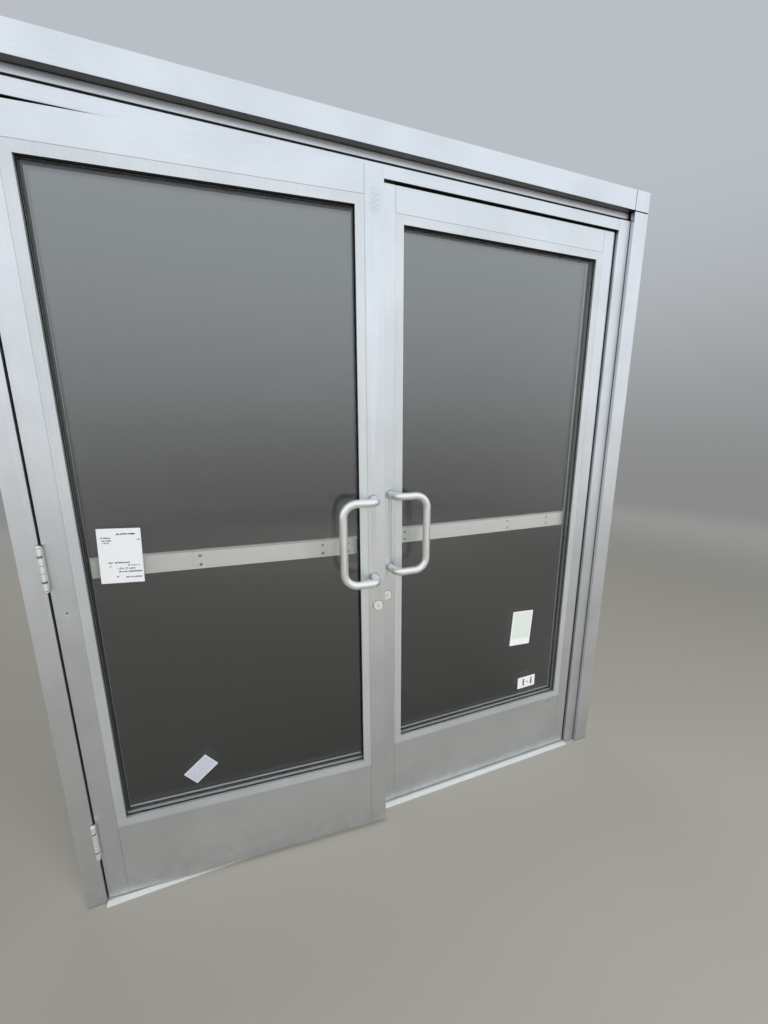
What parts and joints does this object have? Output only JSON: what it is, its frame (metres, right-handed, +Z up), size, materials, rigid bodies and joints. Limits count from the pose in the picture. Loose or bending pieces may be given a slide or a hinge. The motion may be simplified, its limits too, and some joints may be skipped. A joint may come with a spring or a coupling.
{
  "type": "glass door",
  "caption": "Pair of glazed aluminium entrance doors in their frame, with pull handles outside, push pads inside and one leaf standing slightly open.",
  "frame": {"origin": "floor level, on the line where the closed leaves meet, in the plane of their outer face", "axes": "+X to the right seen from outside, +Y into the building, +Z up"},
  "size_m": [1.9955, 0.2445, 2.262],
  "materials": {
    "frame_aluminium": "clear anodised, satin, weathered",
    "leaf_aluminium": "clear anodised, satin",
    "device_aluminium": "clear anodised, satin",
    "satin_aluminium": "satin, bent bar",
    "mill_aluminium": "mill finish, worn",
    "spacer_aluminium": "dull",
    "satin_nickel": "satin nickel plate",
    "satin_steel": "satin",
    "plated_steel": "zinc plated",
    "black_rubber": "matt",
    "black_sealant": "matt",
    "clear_glass": "clear float glass, sealed double unit"
  },
  "bodies": {
    "frame": {"left_jamb": "frame_aluminium", "right_jamb": "frame_aluminium", "header": "frame_aluminium", "strike_plates": "plated_steel", "door_stops": "frame_aluminium", "stop_seals": "black_rubber", "frame_seals": "black_sealant", "head_filler": "frame_aluminium", "transom_bar": "frame_aluminium", "outer_jamb": "frame_aluminium", "threshold": "mill_aluminium", "pivot_pins": "plated_steel", "jamb_hinge_leaves": "satin_steel", "jamb_hinge_fixings": "plated_steel", "hinge_pins": "satin_steel", "hinge_bearings": "plated_steel"},
    "left_leaf": {"left_meeting_stile": "leaf_aluminium", "left_hinge_stile": "leaf_aluminium", "left_top_rail": "leaf_aluminium", "left_bottom_rail": "leaf_aluminium", "left_glass_stops": "leaf_aluminium", "left_glazing_gaskets": "black_rubber", "left_glass_panes": "clear_glass", "left_pane_spacer": "spacer_aluminium", "left_setting_blocks": "black_rubber", "left_tie_rods": "plated_steel", "left_pull_handle": "satin_aluminium", "left_cylinder_body": "satin_nickel", "left_lock_case": "plated_steel", "left_exit_rail": "device_aluminium", "left_exit_covers": "device_aluminium", "left_bolt_guide": "plated_steel", "left_hardware_screws": "plated_steel", "door_hinge_leaves": "satin_steel", "door_hinge_fixings": "plated_steel"},
    "right_leaf": {"right_meeting_stile": "leaf_aluminium", "right_hinge_stile": "leaf_aluminium", "right_top_rail": "leaf_aluminium", "right_bottom_rail": "leaf_aluminium", "right_glass_stops": "leaf_aluminium", "right_glazing_gaskets": "black_rubber", "right_glass_panes": "clear_glass", "right_pane_spacer": "spacer_aluminium", "right_setting_blocks": "black_rubber", "right_tie_rods": "plated_steel", "right_pull_handle": "satin_aluminium", "right_cylinder_body": "satin_nickel", "right_lock_case": "plated_steel", "right_exit_rail": "device_aluminium", "right_exit_covers": "device_aluminium", "right_bolt_guide": "plated_steel", "right_hardware_screws": "plated_steel", "pivot_blocks": "plated_steel", "meeting_seal": "black_rubber"},
    "left_pad": {"left_push_pad": "device_aluminium"},
    "right_pad": {"right_push_pad": "device_aluminium"},
    "left_bolt": {"left_top_bolt": "plated_steel"},
    "right_bolt": {"right_top_bolt": "plated_steel"},
    "left_plug": {"left_key_plug": "satin_nickel"},
    "right_plug": {"right_key_plug": "satin_nickel"}
  },
  "joints": [
    {"name": "left_leaf_swing", "type": "hinge", "parent": "frame", "child": "left_leaf", "pos_m": [-0.9128, -0.0135, 0.24], "axis": [0, 0, -1], "range_deg": [-4.2, 85.8]},
    {"name": "right_leaf_swing", "type": "hinge", "parent": "frame", "child": "right_leaf", "pos_m": [0.8985, 0.0127, 0.0095], "axis": [0, 0, 1], "range_deg": [0, 90]},
    {"name": "left_pad_travel", "type": "slide", "parent": "left_leaf", "child": "left_pad", "axis": [0.0733, 0.9973, 0], "range_m": [0, 0.0127]},
    {"name": "left_bolt_lift", "type": "slide", "parent": "left_leaf", "child": "left_bolt", "axis": [0, 0, 1], "range_m": [0, 0.016]},
    {"name": "left_key_turn", "type": "hinge", "parent": "left_leaf", "child": "left_plug", "pos_m": [-0.02839, -0.06497, 0.88], "axis": [0.0733, 0.9973, 0], "range_deg": [-90, 90]},
    {"name": "right_pad_travel", "type": "slide", "parent": "right_leaf", "child": "right_pad", "axis": [0, 1, 0], "range_m": [0, 0.0127]},
    {"name": "right_bolt_lift", "type": "slide", "parent": "right_leaf", "child": "right_bolt", "axis": [0, 0, 1], "range_m": [0, 0.016]},
    {"name": "right_key_turn", "type": "hinge", "parent": "right_leaf", "child": "right_plug", "pos_m": [0.027, 0, 0.88], "axis": [0, 1, 0], "range_deg": [-90, 90]}
  ],
  "couplings": [
    {"joint": "left_bolt_lift", "follows": "left_pad_travel", "ratio": 1.252},
    {"joint": "right_bolt_lift", "follows": "right_pad_travel", "ratio": 1.252}
  ]
}
